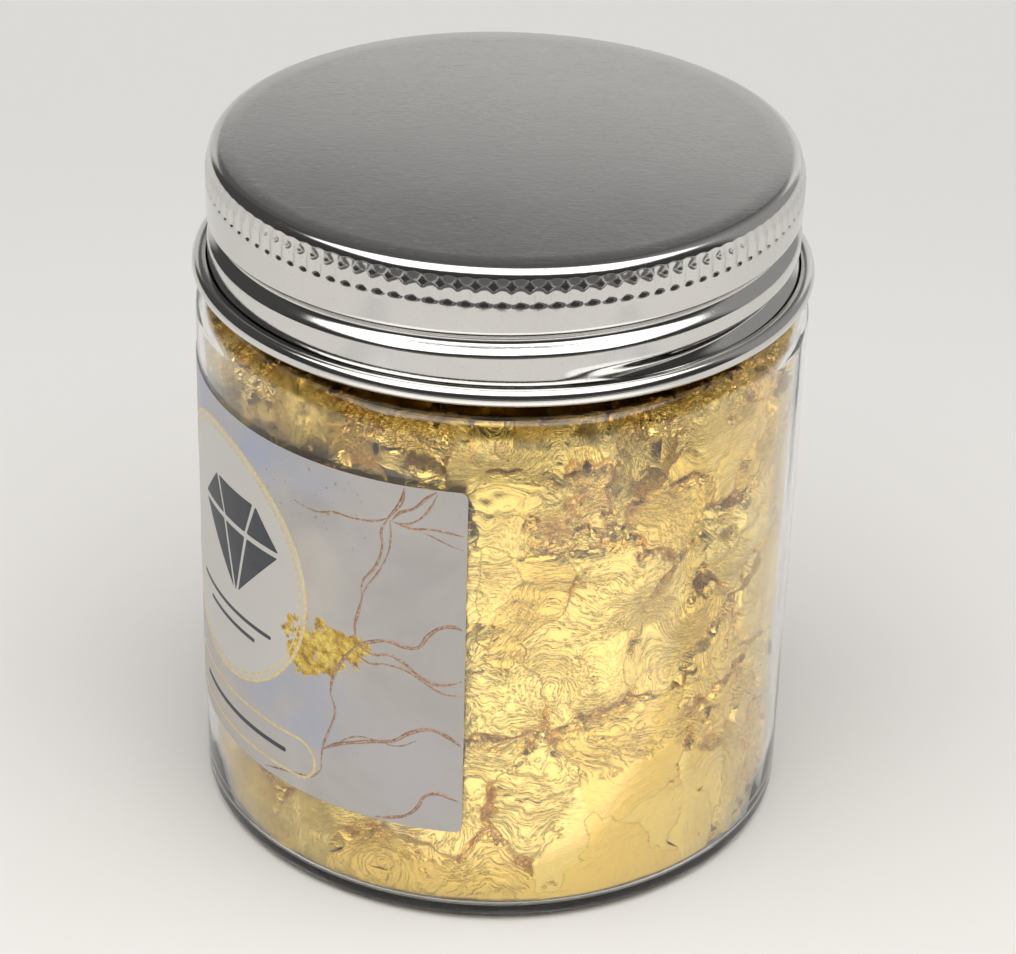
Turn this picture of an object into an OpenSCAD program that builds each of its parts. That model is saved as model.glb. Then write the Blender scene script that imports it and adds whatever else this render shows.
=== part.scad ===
// Screw-lid jar of gold leaf flakes: a clear straight-walled jar, a rolled aluminium
// lid with a foam liner, a wrap-round label, and the crumpled leaf it is packed with.
// The jar stands on the XY plane with its axis along Z. Millimetres.

/* [Jar] */
// Outside radius of the jar's straight wall
jar_r = 34; // [30:0.5:45]
// Height of the jar up to its rim
jar_h = 78.25; // [66:0.25:110]
// Thickness of the jar's wall
wall_t = 1.1; // [0.8:0.1:1.8]
// Thickness of the jar's floor
floor_t = 1.3; // [0.8:0.1:2.5]
// Height of the dome pushed up into the jar's base
push_up = 2.2; // [1:0.1:4]
// Radius of the heel, where the wall meets the base
heel_r = 1.5; // [0.8:0.1:2.5]
// Width of the ring that the jar stands on
ring_w = 2; // [1:0.1:4]

/* [Neck and thread] */
// How far the neck stands in from the jar's wall
shoulder_r = 3.4; // [2.8:0.1:5]
// Height of the neck above the shoulder
neck_h = 14.05; // [13.5:0.05:18]
// Thickness of the neck's wall
neck_t = 1.3; // [1:0.1:2]
// Climb of the thread in one turn
pitch = 4.233; // [3.6:0.001:5]
// How far the jar's thread stands out of the neck
thread_h = 1; // [0.6:0.05:1.1]
// Width of the jar's thread where it meets the neck
thread_w = 2; // [1.4:0.1:2.2]
// Turns of thread on the neck
thread_turns = 1.6; // [1:0.1:2]
// Drop from the rim to the middle of the thread's upper end
thread_drop = 1.6; // [1.4:0.1:3]

/* [Lid] */
// Gap between the thread's crest and the lid's fluted band
lid_gap = 0.35; // [0.3:0.05:0.8]
// Depth of metal taken up by the fluted band
flute_t = 0.65; // [0.5:0.05:1]
// Height of the lid from its hem to its top
lid_h = 14.75; // [14.5:0.05:17]
// Thickness of the lid's sheet
sheet_t = 0.3; // [0.2:0.05:0.45]
// Radius of the lid's rounded top edge
edge_r = 1.4; // [0.8:0.1:2]
// Radius of the rolled hem's tube
hem_r = 1; // [0.7:0.05:1.2]
// Number of flutes round the lid
flutes = 112; // [60:4:140]
// Height of the fluted band
flute_h = 3; // [2:0.1:3.4]
// Depth of one flute
flute_depth = 0.3; // [0.15:0.05:0.35]
// Drop from the lid's top to the fluted band
flute_drop = 0.95; // [0.8:0.05:1.2]
// How far the rolled thread stands into the lid
bead_h = 1.2; // [0.8:0.05:1.3]
// Width of the rolled thread at the lid's wall
bead_w = 2.4; // [1.8:0.1:2.6]
// Turns of thread rolled into the lid
bead_turns = 1.28; // [1:0.01:1.5]
// Thickness of the foam liner
liner_t = 1.2; // [0.8:0.1:2]

/* [Label] */
// Length of the label round the jar, in degrees
label_sweep = 115; // [60:1:170]
// Turn from the jar's front to the label's right edge, in degrees
label_edge = -5; // [-30:1:10]
// Height of the label
label_h = 43; // [25:0.5:45]
// Height of the label's lower edge above the base
label_z = 12.1; // [6:0.1:14]
// Thickness of the label
label_t = 0.12; // [0.08:0.02:0.2]

/* [Gold leaf] */
// Gap between the packed leaf and the jar's wall
leaf_gap = 0.9; // [0.7:0.05:1.2]
// Thickness of one folded leaf pressed against the wall
sheet_leaf_t = 0.35; // [0.2:0.05:0.4]
// Headspace between the leaf and the jar's rim
headspace = 7.5; // [4:0.5:12]
// Number of loose curled leaves lying on top of the packed leaf
top_leaves = 7; // [3:1:9]

/* [Hidden] */
$fn = 96;

// Free play that keeps two pieces from rubbing
play = 0.05;
// Facets round one turn of a thread, and the turn over which its ends run out
turn_facets = 48;
run_out = 30;

neck_r = jar_r - shoulder_r;
bore_r = neck_r - neck_t;
inner_r = jar_r - wall_t;
shoulder_z = jar_h - neck_h - shoulder_r;
crest_r = neck_r + thread_h;
lid_in_r = crest_r + lid_gap + flute_t - sheet_t;
lid_r = lid_in_r + sheet_t;
lid_top = jar_h + liner_t + sheet_t + 2 * play;
hem_z = lid_top - lid_h + hem_r;
leaf_r = inner_r - leaf_gap;
leaf_top = jar_h - headspace;
// Height of the jar's thread and of the lid's thread where they pass the front, on screws of
// one pitch that lie half a turn apart
thread_top = jar_h - thread_drop;
thread_end = 252;
thread_front = thread_top - pitch * thread_end / 360;
bead_front = thread_front - pitch / 2;
bead_start = -350;

// Points of an arc about c from angle a0 to a1
function arc(c, r, a0, a1, n = 8) =
    [for (i = [0 : n]) c + r * [cos(a0 + (a1 - a0) * i / n), sin(a0 + (a1 - a0) * i / n)]];

// A screw of the jar's pitch from angle a0 to a1, which passes the front at height z_front. It
// is back_w wide at radius back_r and crest_w wide at radius tip_r, and its ends run out.
module screw(back_r, back_w, tip_r, crest_w, a0, a1, z_front) {
    n = ceil((a1 - a0) / 360 * turn_facets);
    function rise(a) = max(0.05, min(1, (a - a0) / run_out, (a1 - a) / run_out));
    function at(a, r, z) = [r * sin(a), -r * cos(a), z_front + pitch * a / 360 + z];
    function tip(a) = back_r + (tip_r - back_r) * rise(a);
    function ring(a) = tip_r > back_r
        ? [at(a, back_r, -back_w / 2), at(a, tip(a), -crest_w / 2), at(a, tip(a), crest_w / 2),
           at(a, back_r, back_w / 2)]
        : [at(a, back_r, back_w / 2), at(a, tip(a), crest_w / 2), at(a, tip(a), -crest_w / 2),
           at(a, back_r, -back_w / 2)];
    points = [for (i = [0 : n]) each ring(a0 + (a1 - a0) * i / n)];
    sides = [
        for (i = [0 : n - 1], j = [0 : 3])
            let (a = 4 * i + j, b = 4 * i + (j + 1) % 4)
            each [[a, b, b + 4], [a, b + 4, a + 4]]
    ];
    polyhedron(points, concat(sides, [[3, 2, 1, 0]], [[4 * n, 4 * n + 1, 4 * n + 2, 4 * n + 3]]));
}

// Outline of the clear jar, from the middle of its base, out and up, and down its inside
module jar_outline() {
    outside = concat(
        [[0, push_up], [jar_r - heel_r - ring_w - 3, push_up * 0.8], [jar_r - heel_r - ring_w, 0]],
        arc([jar_r - heel_r, heel_r], heel_r, -90, 0, 5),
        arc([neck_r, shoulder_z], shoulder_r, 0, 90, 8),
        [[neck_r, jar_h - 0.4], [neck_r - 0.4, jar_h]]
    );
    inside = concat(
        [[bore_r + 0.3, jar_h], [bore_r, jar_h - 0.3]],
        [[bore_r, shoulder_z + shoulder_r - wall_t]],
        arc([neck_r, shoulder_z], shoulder_r - wall_t, 75, 0, 6),
        arc([inner_r - 1.2, floor_t + 1.2], 1.2, 0, -90, 4),
        [[jar_r - heel_r - ring_w, floor_t]],
        [[jar_r - heel_r - ring_w - 3, push_up * 0.8 + floor_t], [0, push_up + floor_t]]
    );
    polygon(concat(outside, inside));
}

// Clear jar: the push-up base, straight wall, round shoulder and threaded neck are one moulding
module jar() {
    color([0.9, 0.93, 0.95, 0.35]) {
        rotate_extrude() jar_outline();
        screw(neck_r - 0.5, thread_w * 1.2, crest_r, thread_w * 0.45,
              thread_end - 360 * thread_turns, thread_end, thread_front);
    }
}

// A piece of a round wall, sweep degrees long, that ends at turn edge from the front
module wall_piece(r, t, z, h, sweep, edge) {
    rotate([0, 0, edge - 90 - sweep]) rotate_extrude(angle = sweep) translate([r, z]) square([t, h]);
}

// Printed label stuck round the front left of the jar
module label() {
    color("lavender") wall_piece(jar_r, label_t, label_z, label_h, label_sweep, label_edge);
}

// Leaf packed into the body of the jar, standing a little clear of its floor and wall
module packed_leaf() {
    base = push_up + floor_t + 0.4;
    color("goldenrod") rotate_extrude() polygon(concat(
        [[0, base], [leaf_r - 1.5, base]],
        arc([leaf_r - 1.5, base + 1.5], 1.5, -90, 0, 4),
        [[leaf_r, shoulder_z - 1], [bore_r - 0.6, shoulder_z + 0.6], [0, shoulder_z + 0.6]]
    ));
}

// Leaf heaped in the shoulder and the neck, on the packed leaf
module neck_leaf() {
    low = shoulder_z + 0.6;
    color("darkgoldenrod") rotate_extrude() polygon([
        [0, low], [bore_r - 0.6, low], [bore_r - 0.6, leaf_top - 2.5], [bore_r * 0.6, leaf_top - 1],
        [0, leaf_top - 1.4]
    ]);
}

// One folded leaf pressed flat between the packed leaf and the wall
module pressed_leaf(sweep, edge, z, h) {
    r = (leaf_r + inner_r - sheet_leaf_t) / 2;
    wall_piece(r, sheet_leaf_t, z, h, sweep, edge);
}

// Leaves pressed against the wall at the front, the right, the back and under the label
module front_leaf() {
    color("gold") pressed_leaf(58, 26, 6.5, shoulder_z - 9);
}
module right_leaf() {
    color("khaki") pressed_leaf(92, 120, 6, shoulder_z - 9);
}
module back_leaf() {
    color("gold") pressed_leaf(84, 206, 6.5, shoulder_z - 9.5);
}
module left_leaf() {
    color("khaki") pressed_leaf(116, -34, 6, shoulder_z - 8.5);
}

// Curled leaves lying loose on the heap, each a shallow bent flake
module loose_leaf() {
    spread = bore_r * 0.56;
    color("gold") for (i = [0 : top_leaves - 1]) {
        turn = 360 / top_leaves * i;
        rotate([0, 0, turn]) translate([spread, 0, leaf_top - 0.9]) cylinder(r = 4 + i % 3, h = 0.9);
    }
}

// Foam disc in the lid, which the jar's rim presses
module lid_liner() {
    color("whitesmoke") translate([0, 0, jar_h + play]) cylinder(r = lid_r - flute_t - 0.35, h = liner_t);
}

// Outline of the lid's sheet: top, rounded edge, skirt and the hem curled outwards
module lid_outline() {
    hem = [lid_in_r + hem_r, hem_z];
    polygon(concat(
        [[0, lid_top - sheet_t]],
        [[0, lid_top]],
        arc([lid_r - edge_r, lid_top - edge_r], edge_r, 90, 0, 6),
        arc(hem, hem_r - sheet_t, 180, 485, 18),
        arc(hem, hem_r, 485, 180, 18),
        [[lid_in_r, lid_top - flute_drop - flute_h - 0.6]],
        [[lid_r - flute_t, lid_top - flute_drop - flute_h]],
        arc([lid_r - flute_t - 0.4, lid_top - sheet_t - 0.4], 0.4, 0, 90, 3)
    ));
}

// Metal between the flutes is left, so this is a star-shaped band cut from the skirt
module flute_cutter() {
    low = lid_top - flute_drop - flute_h;
    translate([0, 0, low]) difference() {
        cylinder(r = lid_r + 1, h = flute_h);
        translate([0, 0, -1]) linear_extrude(flute_h + 2) polygon([
            for (i = [0 : 2 * flutes - 1])
                let (r = i % 2 == 0 ? lid_r + 0.03 : lid_r - flute_depth)
                r * [cos(180 * i / flutes), sin(180 * i / flutes)]
        ]);
    }
}

// Aluminium lid: fluted band, hem, and a thread rolled into the skirt from outside
module lid_shell() {
    bead_end = bead_start + 360 * bead_turns;
    bead_r = lid_in_r - bead_h;
    color("silver") {
        difference() {
            rotate_extrude() lid_outline();
            flute_cutter();
            screw(lid_r + 0.4, bead_w * 1.1, bead_r + sheet_t, bead_w * 0.3,
                  bead_start, bead_end, bead_front);
        }
        screw(lid_r - 0.08, bead_w, bead_r, bead_w * 0.4, bead_start, bead_end, bead_front);
    }
}

jar();
label();
packed_leaf();
neck_leaf();
front_leaf();
right_leaf();
back_leaf();
left_leaf();
loose_leaf();
lid_liner();
lid_shell();
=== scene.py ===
import math

import bpy
import numpy as np
from mathutils import Matrix


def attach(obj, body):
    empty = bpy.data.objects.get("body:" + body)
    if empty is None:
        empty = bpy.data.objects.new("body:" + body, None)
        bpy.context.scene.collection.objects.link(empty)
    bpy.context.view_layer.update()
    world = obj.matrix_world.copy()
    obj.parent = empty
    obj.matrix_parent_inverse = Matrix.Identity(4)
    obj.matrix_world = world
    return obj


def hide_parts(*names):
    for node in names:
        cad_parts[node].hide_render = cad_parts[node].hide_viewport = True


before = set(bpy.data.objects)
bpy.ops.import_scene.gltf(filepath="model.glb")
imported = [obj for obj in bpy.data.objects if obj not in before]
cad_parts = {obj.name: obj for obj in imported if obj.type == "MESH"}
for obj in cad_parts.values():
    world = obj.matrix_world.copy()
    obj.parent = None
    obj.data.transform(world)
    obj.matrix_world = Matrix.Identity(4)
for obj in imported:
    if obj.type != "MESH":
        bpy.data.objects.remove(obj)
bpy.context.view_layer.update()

# ---------------------------------------------------------------------------------------
# The studio. The jar stands on a white paper sweep, seen from a little above. A wide soft
# light fills everything in front of it and overhead, and the room behind the sweep is dark.

MM = 0.001
MERGE = 0.001 * MM
CEILING_GLOW = 2.4
SWEEP_GLOW = 0.56
ROOM_GLOW = 0.05
LIT_CARD_GLOW = 0.65

lens = bpy.data.cameras.new("camera")
lens.lens = 109.43
lens.sensor_width = 36
lens.clip_start = 0.01
camera = bpy.data.objects.new("camera", lens)
bpy.context.scene.collection.objects.link(camera)
bpy.context.scene.camera = camera
swing = Matrix.Rotation(math.radians(-0.2168), 4, "Z")
tilt = Matrix.Rotation(math.radians(60.106), 4, "X")
roll = Matrix.Rotation(math.radians(1.5766), 4, "Z")
camera.matrix_world = Matrix.Translation((0, -0.30804, 0.21479)) @ swing @ tilt @ roll

bpy.context.scene.view_settings.view_transform = "Standard"


class Shade:
    """One output of a shader's nodes. Sums and products of them add their Math nodes."""

    def __init__(self, tree, output):
        self.tree = tree
        self.output = output

    def node(self, kind, settings, sockets, output=0):
        """Adds a node, makes its settings, then fills its sockets with values or links."""
        made = self.tree.nodes.new("ShaderNode" + kind)
        for name, value in settings.items():
            if name == "stops":
                stops = made.color_ramp.elements
                while len(stops) < len(value):
                    stops.new(0.5)
                for stop, (place, colour) in zip(stops, value):
                    stop.position = place
                    stop.color = (*colour, 1)
            else:
                setattr(made, name, value)
        for name, value in sockets.items():
            feed(self.tree, made.inputs[name], value)
        return Shade(self.tree, made.outputs[output])

    def math(self, operation, *values):
        return self.node("Math", {"operation": operation}, dict(enumerate(values)))

    def of(self, operation, *others):
        """A function of this value, such as ABSOLUTE, or of this and another, as ARCTAN2."""
        return self.math(operation, self, *others)

    def __add__(self, other):
        return self.math("ADD", self, other)

    def __sub__(self, other):
        return self.math("SUBTRACT", self, other)

    def __rsub__(self, other):
        return self.math("SUBTRACT", other, self)

    def __mul__(self, other):
        return self.math("MULTIPLY", self, other)

    def __truediv__(self, other):
        return self.math("DIVIDE", self, other)

    __radd__ = __add__
    __rmul__ = __mul__

    def step(self, start, end):
        """Climbs softly from 0 at start to 1 at end. It falls where start is over end."""
        sockets = {"Value": self, "From Min": start, "From Max": end}
        return self.node("MapRange", {"interpolation_type": "SMOOTHSTEP"}, sockets)

    def parts(self):
        split = self.tree.nodes.new("ShaderNodeSeparateXYZ")
        feed(self.tree, split.inputs[0], self)
        return [Shade(self.tree, out) for out in split.outputs]

    def noise(self, scale, detail=2, roughness=0.5, distortion=0):
        sockets = {"Vector": self, "Scale": scale, "Detail": detail, "Roughness": roughness,
                   "Distortion": distortion}
        return self.node("TexNoise", {}, sockets)

    def stretched(self, x, y, z, turn=0):
        """The same pattern space, stretched along its axes and turned about Z."""
        sockets = {"Vector": self, "Scale": (x, y, z), "Rotation": (0, 0, turn)}
        return self.node("Mapping", {}, sockets)

    def colours(self, *stops):
        return self.node("ValToRGB", {"stops": stops}, {"Fac": self})

    def between(self, a, b):
        """The colour b where this is 1 and a where it is 0."""
        a = (*a, 1) if isinstance(a, tuple) else a
        b = (*b, 1) if isinstance(b, tuple) else b
        return self.node("Mix", {"data_type": "RGBA"}, {0: self, 6: a, 7: b}, 2)

    def bump(self, height, under=None):
        """A normal for a relief of this height, in metres, laid over another normal."""
        sockets = {"Height": self, "Distance": height}
        if under:
            sockets["Normal"] = under
        return self.node("Bump", {}, sockets)


def feed(tree, socket, value):
    if isinstance(value, Shade):
        tree.links.new(value.output, socket)
    else:
        socket.default_value = value


def new_material(name):
    """A material, and the Object coordinates that its patterns start from."""
    made = bpy.data.materials.new(name)
    made.use_nodes = True
    coordinates = made.node_tree.nodes.new("ShaderNodeTexCoord")
    return made, Shade(made.node_tree, coordinates.outputs["Object"])


def set_finish(made, **sockets):
    """Fills the sockets of a material's shader. Their names are written with underscores."""
    shader = made.node_tree.nodes["Principled BSDF"]
    for name, value in sockets.items():
        if isinstance(value, tuple) and len(value) == 3:
            value = (*value, 1)
        feed(made.node_tree, shader.inputs[name.replace("_", " ")], value)


world = bpy.data.worlds.new("studio_light")
world.use_nodes = True
bpy.context.scene.world = world
sky = Shade(world.node_tree, world.node_tree.nodes.new("ShaderNodeTexCoord").outputs["Generated"])
sky_x, sky_y, sky_z = sky.parts()
over_x = sky_x / sky_z
over_y = sky_y / sky_z
ceiling = sky_z.step(0.1, 0.2)
ceiling_light = over_x.step(-1.05, -0.85) * over_x.step(1.05, 0.85)
ceiling_light = ceiling_light * over_y.step(-1.1, -0.85) * over_y.step(0.26, 0.14) * ceiling
behind = sky_y.step(-0.1, 0.15)
edge_tilt = sky_z - sky_x * 0.09
straight = (sky_x / sky_y).of("ABSOLUTE").step(0.85, 0.6)
sweep_behind = behind * straight * edge_tilt.step(0.419, 0.400) * SWEEP_GLOW
dark_room = ROOM_GLOW + behind * (0.04 * straight + 0.02 + sky_x.step(0.1, 0.7) * 0.28)
glow = ceiling_light * CEILING_GLOW + sweep_behind + dark_room
background = world.node_tree.nodes["Background"]
background.inputs["Color"].default_value = (1.0, 0.992, 0.98, 1)
feed(world.node_tree, background.inputs["Strength"], glow)


def only_selected(piece):
    bpy.ops.object.select_all(action="DESELECT")
    piece.select_set(True)
    bpy.context.view_layer.objects.active = piece


def settle(piece, name, finish):
    """Names a piece, puts its place into its mesh and gives it its finish."""
    only_selected(piece)
    bpy.ops.object.transform_apply()
    piece.name = name
    piece.data.name = name
    piece.data.materials.append(finish)
    return piece


def flat_sheet(size, location, cuts):
    """A flat square on the table, cut into smaller ones."""
    bpy.ops.object.select_all(action="DESELECT")
    bpy.ops.mesh.primitive_plane_add(size=size, location=location)
    bpy.ops.object.mode_set(mode="EDIT")
    bpy.ops.mesh.subdivide(number_cuts=cuts)
    bpy.ops.object.mode_set(mode="OBJECT")
    return bpy.context.object


def only_reflected(card):
    card.visible_camera = False
    card.visible_diffuse = False
    card.visible_shadow = False


floor = flat_sheet(7, (0, 0, 0), 6)
paper, on_paper = new_material("sweep_paper")
_, paper_y, _ = on_paper.parts()
# Painted light: the paper is painted lighter towards the front and darker towards the back, for how
# the light falls off over it.
paper_painted_lit_front = (paper_y + on_paper.noise(4, 2) * 0.05).step(0.22, -0.08)
paper_tone_painted_falloff = paper_painted_lit_front.between((0.76, 0.75, 0.735), (0.96, 0.94, 0.905))
set_finish(paper, Base_Color=paper_tone_painted_falloff, Roughness=0.9, Specular_IOR_Level=0.1,
           Normal=on_paper.noise(900, 3).bump(0.00002))
settle(floor, "floor", paper)

# A dark card on the table in front of the jar, which only the shiny pieces reflect
card = flat_sheet(2, (0, -1.21, 0.001), 3)
felt, on_felt = new_material("dark_card")
felt_tone = on_felt.noise(200).colours((0.3, (0.10, 0.10, 0.10)), (0.7, (0.14, 0.14, 0.14)))
set_finish(felt, Base_Color=felt_tone, Roughness=0.9)
settle(card, "card", felt)
only_reflected(card)

# A small lit card lies flat in front of the jar and brightens the gold from below
bpy.ops.object.select_all(action="DESELECT")
bpy.ops.mesh.primitive_plane_add(size=1, location=(0, -0.088, 0.0006))
lit_card = bpy.context.object
lit_card.scale = (0.26, 0.092, 1)
lit, on_lit = new_material("lit_card")
lit_x, lit_y, _ = on_lit.parts()
fade = lit_x.step(-0.13, -0.07) * lit_x.step(0.13, 0.07) * lit_y.step(-0.134, -0.112)
lit_tone = fade.between((0, 0, 0), (1, 0.985, 0.96))
set_finish(lit, Base_Color=(0.8, 0.79, 0.78), Emission_Color=lit_tone,
           Emission_Strength=LIT_CARD_GLOW)
settle(lit_card, "lit_card", lit)
only_reflected(lit_card)

# ---------------------------------------------------------------------------------------
# The lid is one disc of satin aluminium sheet, drawn into a shallow cap. Its grip flutes
# and its thread are rolled in from outside, and its lower edge is curled out into a hem.

LID_TOP = 79.85 * MM
SHEET = 0.3 * MM
SKIRT_R = 32.6 * MM
EDGE_R = 1.4 * MM
HEM_R = 1.0 * MM
HEM_Z = 66.1 * MM
SKIRT_REACH = 32.65 * MM
FLUTES = 112
FLUTE_DEPTH = 0.30 * MM
FLUTE_TOP = 78.9 * MM
FLUTE_ARCH = 77.7 * MM
FLUTE_FOOT = 75.9 * MM
PITCH = 4.233 * MM
GROOVE_FRONT = 71.57 * MM
GROOVE_START = -350
GROOVE_END = 110.8
GROOVE_DEPTH = 1.15 * MM
GROOVE_HALF = 1.45 * MM
GROOVE_RUN_OUT = 45
GROOVE_CEILING = 74.5 * MM


def arc(r, z, radius, first, last, count):
    """Points of an arc in an outline, from the angle first to the angle last, in degrees."""
    turns = [math.radians(first + (last - first) * i / count) for i in range(count + 1)]
    return [(r + radius * math.cos(t), z + radius * math.sin(t)) for t in turns]


def rows(r, start, end, count):
    """Points up or down a straight wall, without the one that it starts from."""
    return [(r, start + (end - start) * i / count) for i in range(1, count + 1)]


def revolve(name, outline, steps, finish):
    """Draws an outline of (radius, height) points and spins it round the jar's axis."""
    bpy.ops.object.select_all(action="DESELECT")
    r, z = outline[0]
    bpy.ops.mesh.primitive_circle_add(vertices=3, radius=MM, location=(r, 0, z))
    piece = bpy.context.object
    bpy.ops.object.transform_apply()
    bpy.ops.object.mode_set(mode="EDIT")
    bpy.ops.mesh.merge(type="CENTER")
    for (r, z), (next_r, next_z) in zip(outline, outline[1:]):
        move = {"value": (next_r - r, 0, next_z - z)}
        bpy.ops.mesh.extrude_region_move(TRANSFORM_OT_translate=move)
    bpy.ops.mesh.select_all(action="SELECT")
    bpy.ops.mesh.spin(steps=steps, angle=2 * math.pi, center=(0, 0, 0), axis=(0, 0, 1))
    bpy.ops.mesh.select_all(action="SELECT")
    bpy.ops.mesh.remove_doubles(threshold=MERGE)
    bpy.ops.mesh.normals_make_consistent(inside=False)
    bpy.ops.object.mode_set(mode="OBJECT")
    settle(piece, name, finish)
    return piece


def places(piece):
    at = np.empty(len(piece.data.vertices) * 3, np.float32)
    piece.data.vertices.foreach_get("co", at)
    return at.reshape(-1, 3).astype(float)


def reshape(piece, rule):
    """Moves every point of a piece by a rule on all their places."""
    moved = rule(places(piece))
    piece.data.vertices.foreach_set("co", moved.astype(np.float32).ravel())
    piece.data.update()


def round_places(at):
    """Turn from the front in degrees, radius and height of points."""
    turn = np.degrees(np.arctan2(at[:, 0], -at[:, 1]))
    return turn, np.hypot(at[:, 0], at[:, 1]), at[:, 2]


def on_round(turn, radius, z):
    a = np.radians(turn)
    return np.stack([radius * np.sin(a), -radius * np.cos(a), z], axis=1)


def ramp(value, start, end):
    """Climbs softly from 0 at start to 1 at end, as Shade's step does."""
    t = np.clip((value - start) / (end - start), 0, 1)
    return t * t * (3 - 2 * t)


def screw_relief(turn, z, first, last, z_front, half, run_out):
    """Share of a screw's height at places on a wall, for turns from first to last. It rises
    at each end over run_out degrees, and half is half its width."""
    best = np.zeros_like(z)
    for lap in range(-2, 3):
        a = turn + 360 * lap
        ends = np.clip(np.minimum(a - first, last - a) / run_out, 0, 1)
        off = np.clip(np.abs(z - z_front - PITCH * a / 360) / half, 0, 1)
        best = np.maximum(best, ends * (0.5 + 0.5 * np.cos(math.pi * off)))
    return best


def roll_lid(at):
    """Rolls the grip flutes and the thread's groove into the skirt, and dents it a little."""
    turn, radius, z = round_places(at)
    skirt = ramp(radius, SKIRT_R - 1.7 * MM, SKIRT_R - 1.3 * MM) * (radius < SKIRT_REACH)
    wave = 0.5 + 0.5 * np.cos(np.radians(turn * FLUTES))
    deep = ramp(z, FLUTE_FOOT - 0.1 * MM, FLUTE_FOOT + 0.35 * MM)
    deep = deep * (1 - 0.45 * ramp(z, FLUTE_ARCH - 0.4 * MM, FLUTE_ARCH + 0.2 * MM))
    deep = deep * (1 - ramp(z, FLUTE_TOP - 0.8 * MM, FLUTE_TOP + 0.2 * MM))
    press = skirt * deep * wave ** 1.4 * FLUTE_DEPTH
    groove = screw_relief(turn, z, GROOVE_START, GROOVE_END, GROOVE_FRONT, GROOVE_HALF, GROOVE_RUN_OUT)
    groove = groove * (z < GROOVE_CEILING) * (radius < SKIRT_REACH)
    press = press + GROOVE_DEPTH * groove
    ripple = 0.02 * MM * np.sin(np.radians(turn * 3)) * np.sin(np.radians(turn * 5 + 40))
    return on_round(turn, radius - press + ripple * skirt, z)


hem_centre = SKIRT_R - SHEET + HEM_R - 0.01 * MM
lid_outline = (
    [(0, LID_TOP), (0.008, LID_TOP), (0.016, LID_TOP), (0.024, LID_TOP), (0.029, LID_TOP)]
    + arc(SKIRT_R - 0.3 * MM - EDGE_R, LID_TOP - EDGE_R, EDGE_R, 90, 12, 10)
    + [(SKIRT_R - 0.24 * MM, 78.3 * MM), (SKIRT_R - 0.14 * MM, 78.0 * MM)]
    + [(SKIRT_R - 0.04 * MM, 77.65 * MM)]
    + rows(SKIRT_R, 77.7 * MM, FLUTE_FOOT + 0.5 * MM, 6)
    + rows(SKIRT_R, FLUTE_FOOT + 0.5 * MM, FLUTE_FOOT - 0.2 * MM, 4)
    + rows(SKIRT_R, FLUTE_FOOT - 0.2 * MM, 74.2 * MM, 3)
    + rows(SKIRT_R, 74.2 * MM, HEM_Z, 54)
    + arc(hem_centre, HEM_Z, HEM_R - SHEET, 180, 480, 9)
    + arc(hem_centre, HEM_Z, HEM_R, 480, 180, 22)
    + rows(SKIRT_R - SHEET, HEM_Z, 74.2 * MM, 22)
    + rows(SKIRT_R - SHEET, 74.2 * MM, FLUTE_FOOT - 0.5 * MM, 1)
    + rows(SKIRT_R - 0.65 * MM, FLUTE_FOOT - 0.1 * MM, LID_TOP - SHEET - 0.6 * MM, 2)
    + [(SKIRT_R - 1.3 * MM, LID_TOP - SHEET), (0.02, LID_TOP - SHEET), (0, LID_TOP - SHEET)]
)

aluminium, on_metal = new_material("satin_aluminium")
grain = on_metal.noise(5200, 2, 0.6)
cloud = on_metal.noise(60, 3, 0.6)
brushed = on_metal.stretched(1400, 1400, 120, 0.5).noise(1, 3, 0.65)
scratched = on_metal.stretched(260, 2600, 900, 0.7).noise(1, 2, 0.6).step(0.66, 0.72)
_, _, metal_z = on_metal.parts()
on_top = metal_z.step(LID_TOP - 0.9 * MM, LID_TOP - 0.2 * MM)
metal_tone = cloud.colours((0.3, (0.66, 0.65, 0.63)), (0.7, (0.71, 0.70, 0.68)))
metal_tone = (grain.step(0.56, 0.72) * 0.38).between(metal_tone, (0.46, 0.455, 0.445))
rough = 0.06 + on_top * 0.03 + brushed * 0.07 + cloud * 0.03 + scratched * 0.05
fine = grain.bump(0.0000022)
set_finish(aluminium, Base_Color=metal_tone, Metallic=1, Roughness=rough,
           Normal=(brushed * 0.8 + scratched * 0.25).bump(0.000005, fine))
lid = revolve("lid_cap", lid_outline, 6 * FLUTES, aluminium)
reshape(lid, roll_lid)
only_selected(lid)
bpy.ops.object.shade_smooth_by_angle(angle=math.radians(50))
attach(lid, "lid")
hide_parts("lid_shell")

# ---------------------------------------------------------------------------------------
# The liner is a disc of white foam, cut out and pressed into the lid. The jar's rim has
# left a shallow ring in it.

LINER_TOP = 79.5 * MM
LINER_LOW = 78.3 * MM
LINER_R = 31.55 * MM
foam, on_foam = new_material("liner_foam")
cells = on_foam.noise(2600, 3, 0.6)
foam_tone = cells.colours((0.3, (0.74, 0.73, 0.70)), (0.65, (0.84, 0.83, 0.80)))
set_finish(foam, Base_Color=foam_tone, Roughness=0.75, Normal=cells.bump(0.00004))
liner_outline = [
    (0, LINER_LOW), (0.027, LINER_LOW), (0.0288, LINER_LOW), (0.0292, LINER_LOW + 0.14 * MM),
    (0.0306, LINER_LOW + 0.14 * MM), (0.0310, LINER_LOW), (LINER_R - 0.1 * MM, LINER_LOW),
    (LINER_R, LINER_LOW + 0.1 * MM), (LINER_R, LINER_TOP - 0.05 * MM),
    (LINER_R - 0.05 * MM, LINER_TOP), (0.02, LINER_TOP), (0, LINER_TOP),
]
liner = revolve("lid_foam", liner_outline, 160, foam)
only_selected(liner)
bpy.ops.object.shade_smooth_by_angle(angle=math.radians(30))
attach(liner, "lid lift")
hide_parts("lid_liner")

# ---------------------------------------------------------------------------------------
# The jar is one blow-moulded piece of clear plastic: a pushed-up base, a straight wall, a
# round shoulder, and a neck with a thread moulded on it.

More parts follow.
